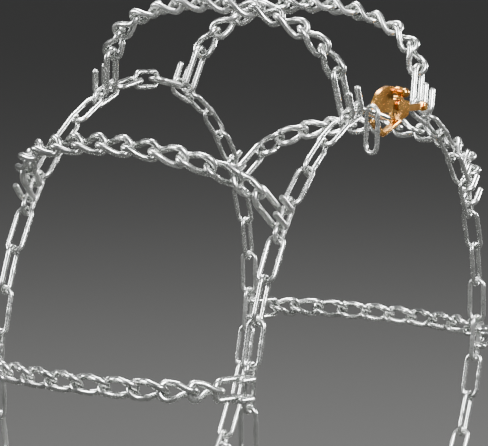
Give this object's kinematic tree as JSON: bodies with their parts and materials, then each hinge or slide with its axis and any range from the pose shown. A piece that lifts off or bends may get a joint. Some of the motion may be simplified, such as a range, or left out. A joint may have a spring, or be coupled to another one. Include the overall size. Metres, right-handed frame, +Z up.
{
  "type": "tire snow chain",
  "caption": "Ladder-type snow chain for a loader tyre: two welded side chains, twisted-link cross chains with end hooks, and a gold cam fastener.",
  "frame": {"origin": "middle of the wheel that the chain goes round, on the axle and midway between the two side chains", "axes": "+Z up, Y along the axle with the cam fastener's side at -Y, +X to the right seen from that side"},
  "size_m": [0.8594, 0.3565, 0.8384],
  "materials": {
    "side_chain_zinc": "bright zinc plate on drawn wire, satin, with weld beads",
    "cross_chain_zinc": "bright zinc plate on heavier twisted wire, slightly rubbed",
    "yellow_zinc": "yellow passivated zinc on pressed steel, satin with a faint colour drift"
  },
  "bodies": {
    "side_chains": {"outer_anchor_links": "side_chain_zinc", "inner_anchor_links": "side_chain_zinc"},
    "outer_run_01": {"outer_side_run_01": "side_chain_zinc"},
    "outer_run_02": {"outer_side_run_02": "side_chain_zinc"},
    "outer_run_03": {"outer_side_run_03": "side_chain_zinc"},
    "outer_run_04": {"outer_side_run_04": "side_chain_zinc"},
    "outer_run_05": {"outer_side_run_05": "side_chain_zinc"},
    "outer_run_06": {"outer_side_run_06": "side_chain_zinc"},
    "outer_run_07": {"outer_side_run_07": "side_chain_zinc"},
    "outer_run_08": {"outer_side_run_08": "side_chain_zinc"},
    "outer_run_09": {"outer_side_run_09": "side_chain_zinc"},
    "inner_run_01": {"inner_side_run_01": "side_chain_zinc"},
    "inner_run_02": {"inner_side_run_02": "side_chain_zinc"},
    "inner_run_03": {"inner_side_run_03": "side_chain_zinc"},
    "inner_run_04": {"inner_side_run_04": "side_chain_zinc"},
    "inner_run_05": {"inner_side_run_05": "side_chain_zinc"},
    "inner_run_06": {"inner_side_run_06": "side_chain_zinc"},
    "inner_run_07": {"inner_side_run_07": "side_chain_zinc"},
    "inner_run_08": {"inner_side_run_08": "side_chain_zinc"},
    "inner_run_09": {"inner_side_run_09": "side_chain_zinc"},
    "inner_run_10": {"inner_side_run_10": "side_chain_zinc", "inner_closing_hook": "side_chain_zinc"},
    "cross_chain_01": {"twisted_links_01": "cross_chain_zinc", "outer_hook_01": "cross_chain_zinc", "inner_hook_01": "cross_chain_zinc"},
    "cross_chain_02": {"twisted_links_02": "cross_chain_zinc", "outer_hook_02": "cross_chain_zinc", "inner_hook_02": "cross_chain_zinc"},
    "cross_chain_03": {"twisted_links_03": "cross_chain_zinc", "outer_hook_03": "cross_chain_zinc", "inner_hook_03": "cross_chain_zinc"},
    "cross_chain_04": {"twisted_links_04": "cross_chain_zinc", "outer_hook_04": "cross_chain_zinc", "inner_hook_04": "cross_chain_zinc"},
    "cross_chain_05": {"twisted_links_05": "cross_chain_zinc", "outer_hook_05": "cross_chain_zinc", "inner_hook_05": "cross_chain_zinc"},
    "cross_chain_06": {"twisted_links_06": "cross_chain_zinc", "outer_hook_06": "cross_chain_zinc", "inner_hook_06": "cross_chain_zinc"},
    "cross_chain_07": {"twisted_links_07": "cross_chain_zinc", "outer_hook_07": "cross_chain_zinc", "inner_hook_07": "cross_chain_zinc"},
    "cross_chain_08": {"twisted_links_08": "cross_chain_zinc", "outer_hook_08": "cross_chain_zinc", "inner_hook_08": "cross_chain_zinc"},
    "cross_chain_09": {"twisted_links_09": "cross_chain_zinc", "outer_hook_09": "cross_chain_zinc", "inner_hook_09": "cross_chain_zinc"},
    "cross_chain_10": {"twisted_links_10": "cross_chain_zinc", "outer_hook_10": "cross_chain_zinc", "inner_hook_10": "cross_chain_zinc"},
    "fastener": {"connecting_link": "side_chain_zinc", "strap_bracket": "yellow_zinc", "cam_rivet": "yellow_zinc", "end_pin": "yellow_zinc"},
    "cam": {"cam": "yellow_zinc", "thumb_stud": "yellow_zinc"},
    "spare_link": {"spare_link": "side_chain_zinc"}
  },
  "joints": [
    {"name": "fastener_roll", "type": "hinge", "parent": "side_chains", "child": "fastener", "pos_m": [0.02035, -0.158, 0.291], "axis": [-0.9976, 0, 0.0698], "range_deg": [-6, 6]},
    {"name": "cam_turn", "type": "hinge", "parent": "fastener", "child": "cam", "pos_m": [0.01809, -0.17235, 0.29517], "axis": [0.2074, 0.9781, -0.0145], "range_deg": [0, 130]},
    {"name": "spare_link_swing", "type": "hinge", "parent": "fastener", "child": "spare_link", "pos_m": [-0.04112, -0.16903, 0.29273], "axis": [0.9325, -0.2022, -0.2992], "range_deg": [-6, 30]},
    {"name": "outer_run_01_roll", "type": "hinge", "parent": "side_chains", "child": "outer_run_01", "pos_m": [0.18751, -0.158, 0.22346], "axis": [-0.766, 0, 0.6428], "range_deg": [-10, 10]},
    {"name": "outer_run_02_roll", "type": "hinge", "parent": "side_chains", "child": "outer_run_02", "pos_m": [0.28305, -0.158, 0.07057], "axis": [-0.2419, 0, 0.9703], "range_deg": [-10, 10]},
    {"name": "outer_run_03_roll", "type": "hinge", "parent": "side_chains", "child": "outer_run_03", "pos_m": [0.27047, -0.158, -0.10928], "axis": [0.3746, 0, 0.9272], "range_deg": [-10, 10]},
    {"name": "outer_run_04_roll", "type": "hinge", "parent": "side_chains", "child": "outer_run_04", "pos_m": [0.15458, -0.158, -0.24738], "axis": [0.848, 0, 0.5299], "range_deg": [-10, 10]},
    {"name": "outer_run_05_roll", "type": "hinge", "parent": "side_chains", "child": "outer_run_05", "pos_m": [-0.02035, -0.158, -0.291], "axis": [0.9976, 0, -0.0698], "range_deg": [-10, 10]},
    {"name": "outer_run_06_roll", "type": "hinge", "parent": "side_chains", "child": "outer_run_06", "pos_m": [-0.18751, -0.158, -0.22346], "axis": [0.766, 0, -0.6428], "range_deg": [-10, 10]},
    {"name": "outer_run_07_roll", "type": "hinge", "parent": "side_chains", "child": "outer_run_07", "pos_m": [-0.28305, -0.158, -0.07057], "axis": [0.2419, 0, -0.9703], "range_deg": [-10, 10]},
    {"name": "outer_run_08_roll", "type": "hinge", "parent": "side_chains", "child": "outer_run_08", "pos_m": [-0.27047, -0.158, 0.10928], "axis": [-0.3746, 0, -0.9272], "range_deg": [-10, 10]},
    {"name": "outer_run_09_roll", "type": "hinge", "parent": "side_chains", "child": "outer_run_09", "pos_m": [-0.15458, -0.158, 0.24738], "axis": [-0.848, 0, -0.5299], "range_deg": [-10, 10]},
    {"name": "inner_run_01_roll", "type": "hinge", "parent": "side_chains", "child": "inner_run_01", "pos_m": [0.18751, 0.158, 0.22346], "axis": [-0.766, 0, 0.6428], "range_deg": [-10, 10]},
    {"name": "inner_run_02_roll", "type": "hinge", "parent": "side_chains", "child": "inner_run_02", "pos_m": [0.28305, 0.158, 0.07057], "axis": [-0.2419, 0, 0.9703], "range_deg": [-10, 10]},
    {"name": "inner_run_03_roll", "type": "hinge", "parent": "side_chains", "child": "inner_run_03", "pos_m": [0.27047, 0.158, -0.10928], "axis": [0.3746, 0, 0.9272], "range_deg": [-10, 10]},
    {"name": "inner_run_04_roll", "type": "hinge", "parent": "side_chains", "child": "inner_run_04", "pos_m": [0.15458, 0.158, -0.24738], "axis": [0.848, 0, 0.5299], "range_deg": [-10, 10]},
    {"name": "inner_run_05_roll", "type": "hinge", "parent": "side_chains", "child": "inner_run_05", "pos_m": [-0.02035, 0.158, -0.291], "axis": [0.9976, 0, -0.0698], "range_deg": [-10, 10]},
    {"name": "inner_run_06_roll", "type": "hinge", "parent": "side_chains", "child": "inner_run_06", "pos_m": [-0.18751, 0.158, -0.22346], "axis": [0.766, 0, -0.6428], "range_deg": [-10, 10]},
    {"name": "inner_run_07_roll", "type": "hinge", "parent": "side_chains", "child": "inner_run_07", "pos_m": [-0.28305, 0.158, -0.07057], "axis": [0.2419, 0, -0.9703], "range_deg": [-10, 10]},
    {"name": "inner_run_08_roll", "type": "hinge", "parent": "side_chains", "child": "inner_run_08", "pos_m": [-0.27047, 0.158, 0.10928], "axis": [-0.3746, 0, -0.9272], "range_deg": [-10, 10]},
    {"name": "inner_run_09_roll", "type": "hinge", "parent": "side_chains", "child": "inner_run_09", "pos_m": [-0.15458, 0.158, 0.24738], "axis": [-0.848, 0, -0.5299], "range_deg": [-10, 10]},
    {"name": "inner_run_10_roll", "type": "hinge", "parent": "side_chains", "child": "inner_run_10", "pos_m": [0.02035, 0.158, 0.291], "axis": [-0.9976, 0, 0.0698], "range_deg": [-10, 10]},
    {"name": "cross_chain_01_sway", "type": "hinge", "parent": "side_chains", "child": "cross_chain_01", "pos_m": [0.11541, 0, 0.28564], "axis": [0, 1, 0], "range_deg": [-4, 4]},
    {"name": "cross_chain_02_sway", "type": "hinge", "parent": "side_chains", "child": "cross_chain_02", "pos_m": [0.26126, 0, 0.16326], "axis": [0, 1, 0], "range_deg": [-4, 4]},
    {"name": "cross_chain_03_sway", "type": "hinge", "parent": "side_chains", "child": "cross_chain_03", "pos_m": [0.30733, 0, -0.02149], "axis": [0, 1, 0], "range_deg": [-4, 4]},
    {"name": "cross_chain_04_sway", "type": "hinge", "parent": "side_chains", "child": "cross_chain_04", "pos_m": [0.236, 0, -0.19803], "axis": [0, 1, 0], "range_deg": [-4, 4]},
    {"name": "cross_chain_05_sway", "type": "hinge", "parent": "side_chains", "child": "cross_chain_05", "pos_m": [0.07453, 0, -0.29892], "axis": [0, 1, 0], "range_deg": [-4, 4]},
    {"name": "cross_chain_06_sway", "type": "hinge", "parent": "side_chains", "child": "cross_chain_06", "pos_m": [-0.11541, 0, -0.28564], "axis": [0, 1, 0], "range_deg": [-4, 4]},
    {"name": "cross_chain_07_sway", "type": "hinge", "parent": "side_chains", "child": "cross_chain_07", "pos_m": [-0.26126, 0, -0.16326], "axis": [0, 1, 0], "range_deg": [-4, 4]},
    {"name": "cross_chain_08_sway", "type": "hinge", "parent": "side_chains", "child": "cross_chain_08", "pos_m": [-0.30733, 0, 0.02149], "axis": [0, 1, 0], "range_deg": [-4, 4]},
    {"name": "cross_chain_09_sway", "type": "hinge", "parent": "side_chains", "child": "cross_chain_09", "pos_m": [-0.236, 0, 0.19803], "axis": [0, 1, 0], "range_deg": [-4, 4]},
    {"name": "cross_chain_10_sway", "type": "hinge", "parent": "side_chains", "child": "cross_chain_10", "pos_m": [-0.07453, 0, 0.29892], "axis": [0, 1, 0], "range_deg": [-4, 4]}
  ]
}
